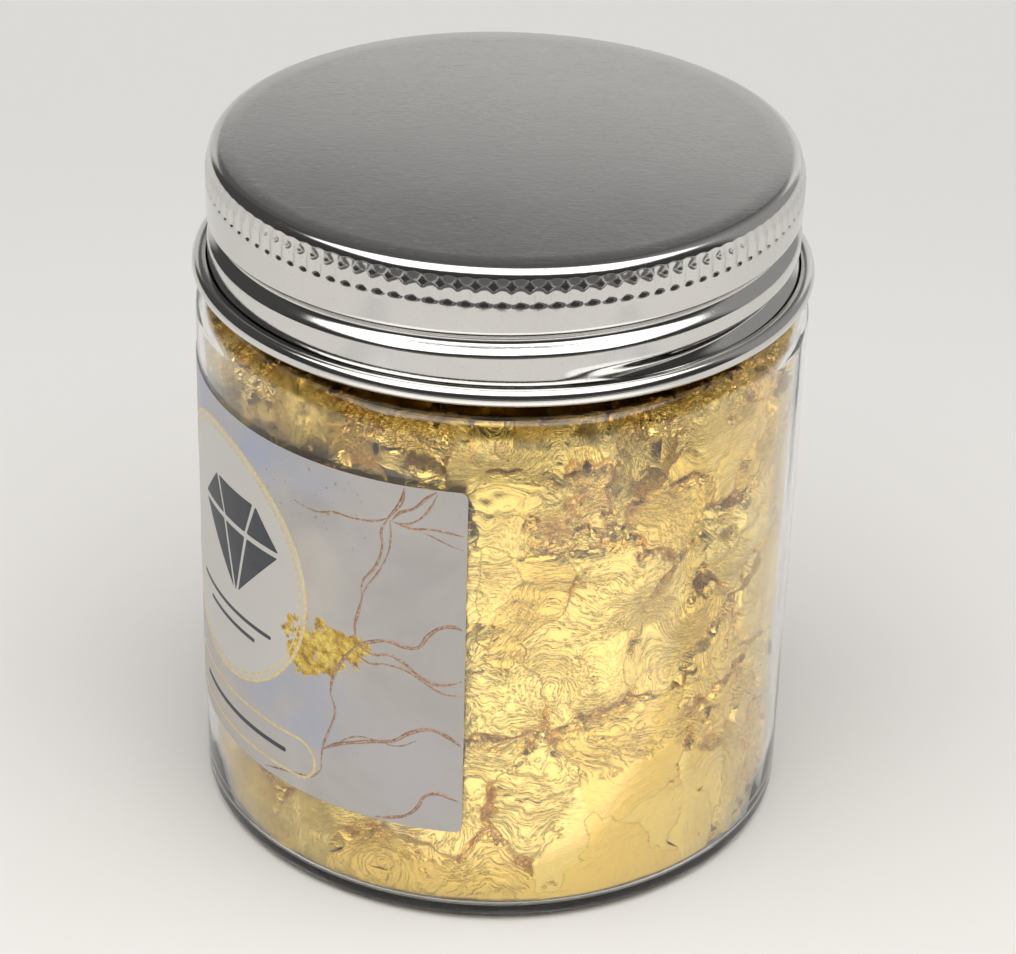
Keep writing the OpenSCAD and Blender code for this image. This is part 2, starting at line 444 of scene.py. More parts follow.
JAR_R = 34 * MM
RIM_Z = 78.25 * MM
WALL = 1.1 * MM
NECK_R = 30.6 * MM
BORE_R = 29.3 * MM
SHOULDER_R = 3.4 * MM
SHOULDER_Z = 60.8 * MM
INNER_R = JAR_R - WALL
PUSH_UP = 2.2 * MM
FLOOR_T = 1.3 * MM
FILLET_R = 1.2 * MM
HEEL_R = 1.5 * MM
THREAD_FRONT = GROOVE_FRONT + PITCH / 2
THREAD_END = 252
THREAD_START = THREAD_END - 576
THREAD_H = 1.0 * MM
THREAD_HALF = 1.1 * MM
THREAD_RUN_OUT = 30


def mould_thread(at):
    turn, radius, z = round_places(at)
    outside = (radius > NECK_R - 0.01 * MM) & (z > SHOULDER_Z + SHOULDER_R)
    ridge = screw_relief(turn, z, THREAD_START, THREAD_END, THREAD_FRONT, THREAD_HALF, THREAD_RUN_OUT)
    ridge = ridge * outside
    return on_round(turn, radius + THREAD_H * ridge ** 0.8, z)


jar_outline = (
    [(0, PUSH_UP), (0.010, PUSH_UP * 0.98), (0.020, PUSH_UP * 0.9), (0.027, PUSH_UP * 0.7)]
    + [(0.0292, PUSH_UP * 0.35), (0.0302, PUSH_UP * 0.08)]
    + arc(JAR_R - HEEL_R, HEEL_R, HEEL_R, -90, 0, 9)
    + rows(JAR_R, HEEL_R, SHOULDER_Z, 12)
    + arc(NECK_R, SHOULDER_Z, SHOULDER_R, 0, 90, 16)[1:]
    + rows(NECK_R, SHOULDER_Z + SHOULDER_R, RIM_Z - 0.5 * MM, 60)
    + arc(NECK_R - 0.5 * MM, RIM_Z - 0.5 * MM, 0.5 * MM, 0, 90, 4)[1:]
    + arc(BORE_R + 0.4 * MM, RIM_Z - 0.4 * MM, 0.4 * MM, 90, 180, 4)
    + rows(BORE_R, RIM_Z - 0.4 * MM, SHOULDER_Z + SHOULDER_R - WALL * 0.7, 8)
    + arc(NECK_R, SHOULDER_Z, SHOULDER_R - WALL, 82, 0, 10)
    + rows(INNER_R, SHOULDER_Z, FLOOR_T + FILLET_R, 10)
    + arc(INNER_R - FILLET_R, FLOOR_T + FILLET_R, FILLET_R, 0, -90, 6)[1:]
    + [(0.0303, FLOOR_T * 1.05), (0.0288, PUSH_UP * 0.4 + FLOOR_T)]
    + [(0.027, PUSH_UP * 0.75 + FLOOR_T), (0.015, PUSH_UP + FLOOR_T)]
    + [(0, PUSH_UP + FLOOR_T)]
)
plastic, on_plastic = new_material("clear_plastic")
flow = on_plastic.stretched(1, 1, 0.35).noise(45, 2)
clear_tone = flow.colours((0.2, (0.985, 0.99, 0.99)), (0.8, (1, 1, 1)))
handled = on_plastic.noise(120, 3).step(0.55, 0.8) * 0.03
set_finish(plastic, Base_Color=clear_tone, Roughness=handled, IOR=1.5,
           Transmission_Weight=1, Normal=flow.bump(0.0004))
jar = revolve("clear_jar", jar_outline, 288, plastic)
reshape(jar, mould_thread)
only_selected(jar)
bpy.ops.object.shade_smooth_by_angle(angle=math.radians(60))
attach(jar, "jar")
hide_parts("jar")

# ---------------------------------------------------------------------------------------
# The label is a piece of printed film with round corners, stuck round the jar's left front:
# pale marble with washes, copper foil veins, a round badge, a splash of gold and a pill.

LABEL_R = 34.01 * MM
LABEL_T = 0.11 * MM
LABEL_LOW = 12.1 * MM
LABEL_HIGH = 55.1 * MM
LABEL_FIRST = -120
LABEL_LAST = -5
DEGREE = JAR_R * math.pi / 180
BADGE = (-62.5 * DEGREE, 36.9 * MM)
BADGE_R = 15.2 * MM


def wrap(piece, radius):
    """Wraps a flat piece round the jar: x is how far round, z is height, and -y is outward."""
    def rule(at):
        turn = np.degrees(at[:, 0] / JAR_R)
        return on_round(turn, radius - at[:, 1], at[:, 2])
    reshape(piece, rule)


def cut_in_strips(first, last, count):
    """Cuts a flat piece into upright strips between two places, so that it can be wrapped."""
    for i in range(1, count):
        bpy.ops.mesh.select_all(action="SELECT")
        cut = first + (last - first) * i / count
        bpy.ops.mesh.bisect(plane_co=(cut, 0, 0), plane_no=(1, 0, 0))


film, on_film = new_material("label_print")
film_x, film_y, high = on_film.parts()
round_by = film_x.of("ARCTAN2", film_y * -1) * JAR_R


def blot(turn, height, wide, tall):
    """A soft blot of ink on the film, 1 in its middle."""
    dx = (round_by - turn * DEGREE) / (wide * MM)
    dz = (high - height * MM) / (tall * MM)
    return (dx * dx + dz * dz).step(1, 0)


marble = on_film.noise(70, 4, 0.6, 0.8)
ink = marble.colours(
    (0.3, (0.50, 0.465, 0.45)), (0.5, (0.55, 0.515, 0.495)), (0.72, (0.60, 0.57, 0.545)))
haze = on_film.noise(140, 3, 0.6)
blue = (0.45, 0.49, 0.62)
washes = (
    ((-58, 53, 22, 5), blue, 0.9), ((-44, 24, 15, 8), blue, 0.8), ((-49, 51, 5, 6), blue, 0.9),
    ((-34, 41, 4.5, 9), (0.66, 0.61, 0.54), 0.9), ((-36, 49, 6, 3), (0.40, 0.40, 0.42), 0.6),
    ((-24, 47, 6, 3), (0.44, 0.44, 0.46), 0.5), ((-19, 43, 5, 5), (0.47, 0.46, 0.46), 0.5),
    ((-12, 20, 10, 8), (0.56, 0.54, 0.57), 0.6), ((-62, 17, 16, 5), (0.62, 0.57, 0.50), 0.7),
    ((-100, 35, 14, 20), (0.50, 0.52, 0.60), 0.6),
)
for place, colour, share in washes:
    wash = blot(*place) * share * haze.step(0.25, 0.65)
    ink = wash.between(ink, colour)
from_badge_x = round_by - BADGE[0]
from_badge_z = high - BADGE[1]
from_badge = (from_badge_x * from_badge_x + from_badge_z * from_badge_z).of("SQRT")
in_badge = from_badge.step(BADGE_R + 0.1 * MM, BADGE_R - 0.1 * MM)
ink = in_badge.between(ink, (0.71, 0.69, 0.65))
splash_grain = on_film.noise(900, 3, 0.7)
splash = blot(-33.5, 32.5, 7.5, 5.5) + blot(-39, 29, 4, 3) * 0.7
splash = splash + blot(-26, 34, 4.5, 2.5) * 0.6
ragged = on_film.noise(150, 6, 0.72, 1.5) * 0.5 + on_film.noise(560, 3, 0.7) * 0.5 - 0.5
splash = (splash + ragged * 4.4).step(0.62, 0.74)
gold_ink = splash_grain.colours(
    (0.34, (0.30, 0.15, 0.01)), (0.48, (0.66, 0.40, 0.02)), (0.64, (0.98, 0.76, 0.14)))
ink = splash.between(ink, gold_ink)
dust = on_film.noise(1500, 1).step(0.70, 0.74) * blot(-38, 50, 14, 7)
ink = dust.between(ink, (0.45, 0.33, 0.12))
set_finish(film, Base_Color=ink, Roughness=0.42 + marble * 0.1, Coat_Roughness=0.2,
           Coat_Weight=0.25, Normal=on_film.noise(2500, 2).bump(0.000006))

bpy.ops.object.select_all(action="DESELECT")
label_mid = (LABEL_FIRST + LABEL_LAST) / 2 * DEGREE
label_wide = (LABEL_LAST - LABEL_FIRST) * DEGREE
label_tall = LABEL_HIGH - LABEL_LOW
bpy.ops.mesh.primitive_plane_add(size=1, location=(label_mid, 0, (LABEL_LOW + LABEL_HIGH) / 2),
                                 rotation=(math.pi / 2, 0, 0))
label = bpy.context.object
label.scale = (label_wide, label_tall, 1)
settle(label, "label_film", film)
bpy.ops.object.mode_set(mode="EDIT")
bpy.ops.mesh.bevel(offset=0.8 * MM, segments=5, affect="VERTICES")
cut_in_strips(LABEL_FIRST * DEGREE, LABEL_LAST * DEGREE, 77)
bpy.ops.object.mode_set(mode="OBJECT")
thick = label.modifiers.new("film", "SOLIDIFY")
thick.thickness = LABEL_T
thick.offset = 1
bpy.ops.object.modifier_apply(modifier="film")
wrap(label, LABEL_R)
only_selected(label)
bpy.ops.object.shade_smooth_by_angle(angle=math.radians(30))
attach(label, "jar")
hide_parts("label")


def foil_line(points, width):
    """A line of foil through (turn, height) points. It is widest in its middle."""
    bpy.ops.object.select_all(action="DESELECT")
    bpy.ops.curve.primitive_bezier_curve_add()
    drawn = bpy.context.object
    drawn.data.bevel_depth = 1
    drawn.data.bevel_resolution = 0
    drawn.data.resolution_u = 6
    drawn.data.use_fill_caps = True
    line = drawn.data.splines[0]
    line.bezier_points.add(len(points) - 2)
    for i, (turn, height) in enumerate(points):
        knot = line.bezier_points[i]
        knot.co = (turn * DEGREE, 0, height * MM)
        knot.handle_left_type = knot.handle_right_type = "AUTO"
        end = min(i, len(points) - 1 - i)
        knot.radius = width * MM / 2 * (0.35 if end == 0 else 0.7 + 0.25 * (i % 2))
    bpy.ops.object.convert(target="MESH")
    return bpy.context.object


def join_all(made, name, finish):
    bpy.ops.object.select_all(action="DESELECT")
    for piece in made:
        piece.select_set(True)
    bpy.context.view_layer.objects.active = made[0]
    bpy.ops.object.join()
    return settle(bpy.context.object, name, finish)


def flatten(at):
    return at * (1, 0.05, 1)


copper, on_copper = new_material("copper_foil")
fleck = on_copper.noise(3200, 2, 0.7)
copper_tone = fleck.colours(
    (0.3, (0.30, 0.17, 0.11)), (0.5, (0.50, 0.31, 0.21)), (0.7, (0.74, 0.56, 0.44)))
set_finish(copper, Base_Color=copper_tone, Metallic=0.45, Roughness=0.34 + fleck * 0.2,
           Normal=fleck.bump(0.00002))
veins = (
    (((-16.3, 54.9), (-16.9, 53.2), (-18.2, 51.9), (-19.3, 51.0)), 0.55),
    (((-19.0, 51.0), (-22, 50.2), (-26, 49.9), (-30, 49.9), (-34, 49.2), (-39, 49.5)), 0.30),
    (((-18.6, 50.8), (-17.2, 51.8), (-14.6, 52.6), (-12.4, 54.0), (-10.6, 54.9)), 0.40),
    (((-18.6, 50.6), (-16.0, 50.6), (-13.6, 51.4), (-11.6, 53.0), (-10.4, 54.6)), 0.28),
    (((-18.8, 50.7), (-15.4, 50.2), (-11.4, 50.4), (-8.0, 50.2), (-5.6, 49.9)), 0.32),
    (((-14.2, 50.2), (-11.0, 49.5), (-8.4, 48.8), (-5.6, 48.2)), 0.2),
    (((-19.3, 50.9), (-20.6, 49.2), (-20.4, 47.4), (-21.6, 44.8), (-24.2, 42.4), (-24.4, 40.2)), 0.34),
    (((-19.0, 50.7), (-18.8, 48.6), (-19.4, 46.4), (-21.0, 44.2), (-23.6, 41.6), (-24.4, 40.2)), 0.26),
    (((-24.3, 40.4), (-25.0, 38.6), (-25.8, 36.6), (-25.4, 34.6)), 0.42),
    (((-25.2, 34.4), (-22.6, 35.1), (-19.6, 35.7), (-16.4, 35.4), (-13.6, 35.6), (-11.8, 37.2),
      (-9.6, 38.4), (-7.2, 38.7), (-5.6, 38.4)), 0.5),
    (((-25.2, 34.2), (-22.0, 33.6), (-19.2, 34.0), (-16.4, 33.4), (-13.2, 32.0), (-10.0, 31.2),
      (-7.6, 31.4), (-5.6, 31.9)), 0.4),
    (((-26.0, 33.6), (-23.2, 32.4), (-19.6, 32.7), (-16.2, 32.5), (-12.6, 31.4), (-9.0, 30.2),
      (-5.6, 30.0)), 0.32),
    (((-25.6, 34.0), (-27.6, 32.4), (-29.2, 30.8), (-30.6, 28.6), (-31.0, 26.8)), 0.42),
    (((-31.0, 26.8), (-30.0, 25.0), (-30.8, 22.8), (-32.2, 20.6), (-33.0, 18.6), (-33.2, 16.0)), 0.34),
    (((-32.6, 19.2), (-29.8, 20.4), (-26.2, 21.4), (-22.2, 22.3), (-18.2, 23.0), (-14.6, 24.6),
      (-11.0, 25.3), (-7.8, 24.6), (-5.6, 23.6)), 0.52),
    (((-29.8, 20.6), (-25.6, 22.3), (-21.4, 22.6), (-17.4, 22.4), (-13.6, 23.6)), 0.22),
    (((-21.6, 12.4), (-18.4, 12.8), (-15.2, 13.6), (-13.2, 15.0), (-12.0, 16.4), (-9.8, 17.0),
      (-7.4, 16.6), (-5.6, 16.2)), 0.45),
    (((-33.2, 16.2), (-35.4, 14.8), (-39.0, 14.2), (-44.0, 13.4), (-48.0, 12.6)), 0.3),
)
vein = join_all([foil_line(points, width) for points, width in veins], "label_veins", copper)
reshape(vein, flatten)
wrap(vein, LABEL_R + LABEL_T)
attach(vein, "jar")


def foil_ring(turn, height, wide, tall, corner, width):
    """A closed line of foil round a pill or a disc, made from a rounded rectangle."""
    bpy.ops.object.select_all(action="DESELECT")
    bpy.ops.mesh.primitive_plane_add(size=1, location=(turn * DEGREE, 0, height * MM),
                                     rotation=(math.pi / 2, 0, 0))
    ring = bpy.context.object
    ring.scale = (wide * MM, tall * MM, 1)
    bpy.ops.object.transform_apply()
    bpy.ops.object.mode_set(mode="EDIT")
    bpy.ops.mesh.bevel(offset=corner * MM, segments=24, affect="VERTICES")
    bpy.ops.mesh.remove_doubles(threshold=MERGE)
    bpy.ops.mesh.select_all(action="SELECT")
    bpy.ops.mesh.inset(thickness=width * MM, use_boundary=True)
    bpy.ops.mesh.delete(type="FACE")
    cut_in_strips(turn * DEGREE - wide * MM / 2, turn * DEGREE + wide * MM / 2, 24)
    bpy.ops.object.mode_set(mode="OBJECT")
    return ring


pale_gold, on_pale = new_material("pale_gold_foil")
speck = on_pale.noise(2600, 2)
pale_tone = speck.colours((0.3, (0.72, 0.56, 0.28)), (0.7, (0.88, 0.76, 0.45)))
set_finish(pale_gold, Base_Color=pale_tone, Metallic=0.5, Roughness=0.35 + speck * 0.15)
rings = [
    foil_ring(-62.5, 36.9, 31.2, 31.2, 15.59, 0.42),
    foil_ring(-62.5, 36.9, 29.4, 29.4, 14.69, 0.2),
    foil_ring(-58.0, 16.5, 28.0, 5.4, 2.69, 0.34),
]
ring = join_all(rings, "label_rings", pale_gold)
thick = ring.modifiers.new("foil", "SOLIDIFY")
thick.thickness = 0.02 * MM
thick.offset = 1
bpy.ops.object.modifier_apply(modifier="foil")
wrap(ring, LABEL_R + LABEL_T)
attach(ring, "jar")

# The badge carries a plain picture of a cut stone over ruled lines, with no words


def facet(turn, height, corners):
    """A flat chip of ink with the corners given in millimetres about its middle."""
    bpy.ops.object.select_all(action="DESELECT")
    bpy.ops.mesh.primitive_circle_add(vertices=len(corners), radius=MM, fill_type="NGON",
                                      rotation=(math.pi / 2, 0, 0))
    chip = bpy.context.object
    bpy.ops.object.transform_apply()
    middle = np.array([turn * DEGREE, 0, height * MM])
    outline = np.array([(x, 0, z) for x, z in corners]) * MM
    reshape(chip, lambda at: middle + outline)
    bpy.ops.object.mode_set(mode="EDIT")
    bpy.ops.mesh.bevel(offset=0.22 * MM, segments=3, affect="VERTICES")
    cut_in_strips((turn - 18) * DEGREE, (turn + 18) * DEGREE, 37)
    bpy.ops.object.mode_set(mode="OBJECT")
    return chip


def rule_line(turn, height, wide, tall):
    """A ruled line of ink, with its size in millimetres."""
    x, z = wide / 2, tall / 2
    return facet(turn, height, ((-x, -z), (x, -z), (x, z), (-x, z)))


slate, on_slate = new_material("slate_ink")
slate_tone = on_slate.noise(500, 2).colours((0.3, (0.035, 0.038, 0.05)), (0.7, (0.05, 0.055, 0.07)))
set_finish(slate, Base_Color=slate_tone, Roughness=0.45,
           Normal=on_slate.noise(2500, 2).bump(0.000006))
stone = (
    ((-8.2, 1.2), (-4.4, 5.4), (-2.6, 1.2)),
    ((-3.8, 5.4), (3.8, 5.4), (2.2, 1.2), (-2.2, 1.2)),
    ((4.4, 5.4), (8.2, 1.2), (2.6, 1.2)),
    ((-8.0, 0.5), (-2.6, 0.5), (-0.5, -7.2)),
    ((-2.1, 0.5), (2.1, 0.5), (0, -7.4)),
    ((2.6, 0.5), (8.0, 0.5), (0.5, -7.2)),
)
chips = [facet(-57, 40.5, corners) for corners in stone]
chips += [
    rule_line(-60, 30.2, 17.0, 0.5),
    rule_line(-60, 28.4, 11.0, 0.5),
    rule_line(-58, 16.5, 19.0, 0.6),
]
badge = join_all(chips, "label_badge", slate)
only_selected(badge)
bpy.ops.object.mode_set(mode="EDIT")
bpy.ops.mesh.select_all(action="SELECT")
bpy.ops.mesh.normals_make_consistent(inside=False)
bpy.ops.object.mode_set(mode="OBJECT")
thick = badge.modifiers.new("ink", "SOLIDIFY")
thick.thickness = 0.016 * MM
thick.offset = 0
bpy.ops.object.modifier_apply(modifier="ink")
wrap(badge, LABEL_R + LABEL_T + 0.009 * MM)
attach(badge, "jar")

# ---------------------------------------------------------------------------------------
# The jar is packed full of gold leaf: sheets thinner than paper, torn into flakes that
# crumple as they go in, and are pressed flat where they meet the wall.

LEAF_LOW = 1.5 * MM
LEAF_HIGH = 62.4 * MM
BORE_FOOT = 62.6 * MM
LATTICE = 256
FLAKE_CUTS = 5
FLAKE_POINTS = (FLAKE_CUTS + 1) ** 2
FLAKE_MODELS = 6
chance = np.random.default_rng(24)
lattice = chance.random((LATTICE, LATTICE))


def mottle(u, v):
    """Smooth random values from 0 to 1 over a plane, one unit to a bump."""
    i, j = np.floor(u).astype(int), np.floor(v).astype(int)
    fu, fv = u - i, v - j
    fu, fv = fu * fu * (3 - 2 * fu), fv * fv * (3 - 2 * fv)
    i, next_i = i % LATTICE, (i + 1) % LATTICE
    j, next_j = j % LATTICE, (j + 1) % LATTICE
    near = lattice[i, j] * (1 - fu) + lattice[next_i, j] * fu
    far = lattice[i, next_j] * (1 - fu) + lattice[next_i, next_j] * fu
    return near * (1 - fv) + far * fv


def fold_up(u, v, size):
    """Folds a sheet again and again along random lines, until it is a wad of about that size,
    and says where its points end."""
    folds = math.ceil(3.4 * math.log2(max(u.std(), v.std()) / size))
    for k in range(folds):
        a = chance.uniform(-0.6, 0.6) + math.pi / 2 * k
        across = u * math.cos(a) + v * math.sin(a)
        over = np.maximum(across - np.median(across[::7]), 0)
        u = u - 2 * over * math.cos(a)
        v = v - 2 * over * math.sin(a)
    return u - np.median(u)


def crumple(u, v, sheets, calm, rough):
    """Relief of crumpled sheets over a plane, in millimetres: how deep each place lies, where
    it is on its own sheet, and its looks: a tone, how far into a gap it is, and how calm."""
    wu = u + 3.4 * (mottle(u / 4, v / 4) - 0.5) + 1.2 * (mottle(u / 1.1 + 40, v / 1.1) - 0.5)
    wv = v + 3.4 * (mottle(u / 4 + 90, v / 4) - 0.5) + 1.2 * (mottle(u / 1.1, v / 1.1 + 70) - 0.5)
    nearest = np.full(u.shape, 1e9)
    second = np.full(u.shape, 1e9)
    mine = np.zeros(u.shape, int)
    for k in range(sheets):
        du = wu - chance.uniform(u.min(), u.max())
        dv = wv - chance.uniform(v.min(), v.max())
        lie, flat = chance.uniform(0, math.pi), chance.uniform(1.0, 2.0)
        far = np.hypot(du * math.cos(lie) + dv * math.sin(lie),
                       (dv * math.cos(lie) - du * math.sin(lie)) * flat)
        closer = far < nearest
        second = np.where(closer, nearest, np.minimum(second, far))
        nearest = np.minimum(nearest, far)
        mine[closer] = k
    turn = chance.uniform(-0.7, 0.7, sheets)[mine] + 0.9 * (mottle(u / 6 + 7, v / 6 + 3) - 0.5)
    tone = chance.random(sheets)[mine]
    fu = wu * np.cos(turn) + wv * np.sin(turn) + chance.uniform(-9, 9, sheets)[mine]
    fv = wv * np.cos(turn) - wu * np.sin(turn) + chance.uniform(-9, 9, sheets)[mine]
    gap = 1 - ramp(second - nearest + 1.6 * (mottle(u / 1.4 + 3, v / 1.4 + 8) - 0.5), 0.1, 2.3)
    gap = gap * ramp(mottle(u / 5 + 15, v / 5 + 44), 0.25, 0.6)
    coarse = fold_up(fu, fv, 1.5)
    small = fold_up(fu * 0.5, fv, 0.42)
    tiny = fold_up(fu * 0.35, fv, 0.16)
    chaos = fold_up(wu, wv, 0.35)
    strokes = mottle(fu / 1.5, fv / 0.55) + 0.5 * mottle(fu / 0.8 + 31, fv / 0.3)
    quiet = 1 - calm
    lively = 0.35 + 0.65 * ramp(mottle(u / 3 + 60, v / 3 + 25), 0.25, 0.6)
    depth = rough * (0.07 * coarse * (quiet + 0.15 * calm) + quiet * lively * (
        0.17 * small + 0.26 * tiny + 0.13 * (strokes - 0.75)))
    depth = depth + chance.uniform(0, 0.12, sheets)[mine] * quiet
    depth = depth + gap * quiet * (0.45 + 0.30 * chaos + 0.4 * mottle(u / 0.9, v / 0.9))
    return depth, fu, fv, {"tone": tone, "gap": gap * quiet, "calm": calm}


def close_round(values, a, b):
    """The same values with the far end of each ring eased into its start."""
    width = np.count_nonzero(b == b[0])
    start = np.repeat(values.reshape(-1, width)[:, 0], width)
    return values + (start - values) * ramp(a, 0.95, 1)


def tell(mesh, looks):
    """Stores values of each point for the gold leaf's shader to read."""
    for kind, values in looks.items():
        told = mesh.attributes.new(kind, "FLOAT", "POINT")
        told.data.foreach_set("value", values.astype(np.float32))


def leaf_grid(name, columns, ranks, rule):
    """A fine grid over 0 to 1 both ways, laid out by a rule that also gives each point's
    place on its flake and its looks."""
    bpy.ops.object.select_all(action="DESELECT")
    bpy.ops.mesh.primitive_grid_add(x_subdivisions=columns, y_subdivisions=ranks, size=1)
    leaf = bpy.context.object
    settle(leaf, name, gold)
    at = places(leaf) + (0.5, 0.5, 0)
    at, fu, fv, looks = rule(at[:, 0], at[:, 1])
    leaf.data.vertices.foreach_set("co", at.astype(np.float32).ravel())
    mesh = leaf.data
    corner = np.zeros(len(mesh.loops), np.int32)
    mesh.loops.foreach_get("vertex_index", corner)
    pattern = mesh.uv_layers.new(name="flake")
    pattern.data.foreach_set("uv", np.stack([fu[corner], fv[corner]], 1).astype(np.float32).ravel())
    tell(mesh, looks)
    mesh.update()
    only_selected(leaf)
    bpy.ops.object.mode_set(mode="EDIT")
    bpy.ops.mesh.select_all(action="SELECT")
    bpy.ops.mesh.remove_doubles(threshold=MERGE)
    bpy.ops.object.mode_set(mode="OBJECT")
    bpy.ops.object.shade_smooth_by_angle(angle=math.radians(13))
    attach(leaf, "jar")
    return leaf


gold, on_gold = new_material("gold_leaf")
flake_map = on_gold.node("UVMap", {"uv_map": "flake"}, {})
tone = on_gold.node("Attribute", {"attribute_name": "tone"}, {}, 2)
gap = on_gold.node("Attribute", {"attribute_name": "gap"}, {}, 2)
calm = on_gold.node("Attribute", {"attribute_name": "calm"}, {}, 2)
leaf_tone_and_painted_shade = tone.colours(
    (0.1, (0.98, 0.68, 0.17)), (0.45, (1.0, 0.72, 0.20)), (0.9, (1.0, 0.765, 0.25)))
_, _, leaf_z = on_gold.parts()
# Painted shade: above the shoulder the leaf is painted a deeper, darker gold, for the shade of the
# shoulder and the lid over it.
leaf_tone_and_painted_shade = (leaf_z.step(60.3 * MM, BORE_FOOT) * 0.9).between(leaf_tone_and_painted_shade, (0.84, 0.52, 0.09))
speckle = on_gold.noise(1300, 3, 0.65)
stain = on_gold.noise(260, 4, 0.65)
# Painted shade: where the leaf lies deep in the gaps between its sheets it is painted a darker orange,
# broken up by noise.
painted_gap_shade = (gap * 1.1 + stain - 0.5).step(0.45, 0.9) * speckle.step(0.35, 0.6)
leaf_tone_and_painted_shade = (painted_gap_shade * 0.8).between(leaf_tone_and_painted_shade, (0.90, 0.52, 0.17))
leaf_tone_and_painted_shade = (stain.step(0.58, 0.7) * 0.35).between(leaf_tone_and_painted_shade, (0.94, 0.60, 0.20))
creased = flake_map.stretched(0.9, 3.6, 1).noise(1, 3, 0.6, 0.25)
cross = flake_map.stretched(2.2, 1.2, 1, 0.6).noise(1, 2, 0.6, 0.5)
strokes = flake_map.stretched(0.55, 2.4, 1, 0.3).noise(1, 4, 0.65, 0.15).step(0.52, 0.62)
relief = (creased * 0.7 + cross * 0.4 + speckle * 0.15 + strokes * 0.55) * (1 - calm * 0.88)
set_finish(gold, Base_Color=leaf_tone_and_painted_shade, Metallic=1, Roughness=0.13 + stain * 0.08 + painted_gap_shade * 0.12,
           Normal=relief.bump(0.00013))


def wall_leaf(name, first, last, columns, ranks, sheets, calm, over):
    """Leaf pressed against the wall between two turns from the front, in degrees. The ends of
    a leaf that lies over its neighbours are ragged, and the others tuck in under them."""
    def rule(a, b):
        z = LEAF_LOW + (LEAF_HIGH - LEAF_LOW) * b
        v = z / MM
        ragged = 5 * (mottle(v / 3 + first, v * 0) - 0.5) + 1.5 * (mottle(v / 0.7, v * 0 + 9) - 0.5)
        ragged = ragged * over
        turn = first + ragged * (1 - a) + (last - first) * a - ragged * a
        u = turn * DEGREE / MM
        depth, fu, fv, looks = crumple(u, v, sheets, calm(u, v), 1)
        depth = depth + 0.18 + 0.25 * (mottle(u / 9 + 11, v / 9 + 5) - 0.4) * (1 - calm(u, v))
        depth = depth + 0.3 * ramp(v, 59.5, 62.0) * (1 + 2 * mottle(u / 1.6, v / 1.6))
        wall = np.minimum(INNER_R, leaf_room(z)) / MM - 0.15
        edge = np.minimum(a, 1 - a) * (last - first) * DEGREE / MM
        tuck = (1 - ramp(edge, 2.5, 6.0)) * (1 - over)
        depth = depth + 0.9 * tuck + 0.1 * over * (1 - ramp(edge, 0.0, 0.5))
        at = on_round(turn, (wall - np.clip(depth, -0.08, 2.2)) * MM, z)
        return at, fu, fv, looks
    return leaf_grid(name, columns, ranks, rule)


def leaf_room(z):
    """The jar's inside radius at a height: its fillet, straight wall and shoulder."""
    under = np.maximum(FLOOR_T + FILLET_R - z, 0)
    low = INNER_R - FILLET_R + np.sqrt(np.maximum(FILLET_R ** 2 - under ** 2, 0))
    up = np.sqrt(np.maximum((SHOULDER_R - WALL) ** 2 - np.maximum(z - SHOULDER_Z, 0) ** 2, 0))
    return np.minimum(low, NECK_R + up)


def neck_room(z):
    """The same, with the neck's bore over the shoulder."""
    return np.minimum(leaf_room(z), np.where(z > BORE_FOOT, BORE_R, 1))


def big_facet(u, v):
    """The large flake that lies flat against the wall at the lower right of the front."""
    left = ((u - 4.2) * (27 - 3) - (v - 3) * (13.0 - 4.2)) / 25.6
    over = ((u - 13) * (21 - 27) - (v - 27) * (22.5 - 13)) / 11.2
    cap = 20.5 - v + 0.25 * (u - 22)
    inside = np.minimum(np.minimum(left, 31 - u), np.minimum(over, cap))
    inside = inside + 2.6 * (mottle(u / 3, v / 3) - 0.5) + 1.2 * (mottle(u, v) - 0.5)
    return ramp(inside, 0.0, 1.0) * 0.97 + 0.75 * calm_patches(u, v) * (inside < 0)


def calm_patches(u, v):
    """Smaller places where the leaf lies flat."""
    return ramp(mottle(u / 7 + 31, v / 5 + 17), 0.70, 0.85)


front_leaf = wall_leaf("leaf_front", -32, 40, 226, 430, 22, big_facet, 1)
right_leaf = wall_leaf("leaf_right", 32, 126, 232, 420, 24, big_facet, 0)
back_leaf = wall_leaf("leaf_back", 118, 208, 200, 360, 24, calm_patches, 1)
left_leaf = wall_leaf("leaf_left", 202, 336, 230, 320, 34, calm_patches, 0)
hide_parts("front_leaf")
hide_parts("right_leaf")
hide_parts("back_leaf")
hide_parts("left_leaf")


def shoulder_rule(a, b):
    """Upright flakes crammed into the shoulder and the neck."""
    turn = 360 * a - 180
    z = (58.5 + 11.0 * b) * MM
    u, v = turn * 0.57, z / MM
    depth, fu, fv, looks = crumple(u, v, 90, np.zeros_like(u), 1.6)
    deep = 0.5 + depth + 1.3 * fold_up(u * 1.6, v * 0.8, 0.5) + 0.9 * mottle(u / 1.7, v / 1.7)
    deep = close_round(deep, a, b)
    room = neck_room(z) / MM
    at = on_round(turn, (room - np.clip(deep, 0.15, 4.5)) * MM, z)
    # A floor of gap for the crammed flakes here, which paints more of the gold's gap shade on them.
    looks["gap"] = 0.1 + 0.6 * looks["gap"]
    return at, fu, fv, looks


shoulder_leaf = leaf_grid("leaf_shoulder", 860, 110, shoulder_rule)
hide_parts("neck_leaf")


def heap_rule(a, b):
    """The top of the heap, as it shows when the lid is off."""
    turn = 360 * a
    r = 29.0 * np.sqrt(b)
    x, y = r * np.cos(np.radians(-turn)), r * np.sin(np.radians(-turn))
    depth, fu, fv, looks = crumple(x, y, 50, np.zeros_like(x), 1.6)
    depth = close_round(depth + 1.2 * fold_up(x, y, 0.9), a, b)
    z = 69.6 - np.clip(depth, -0.9, 2.6) - 1.2 * ramp(r, 24, 29)
    return np.stack([x, y, z], 1) * MM, fu, fv, looks


leaf_grid("leaf_heap", 420, 200, heap_rule)


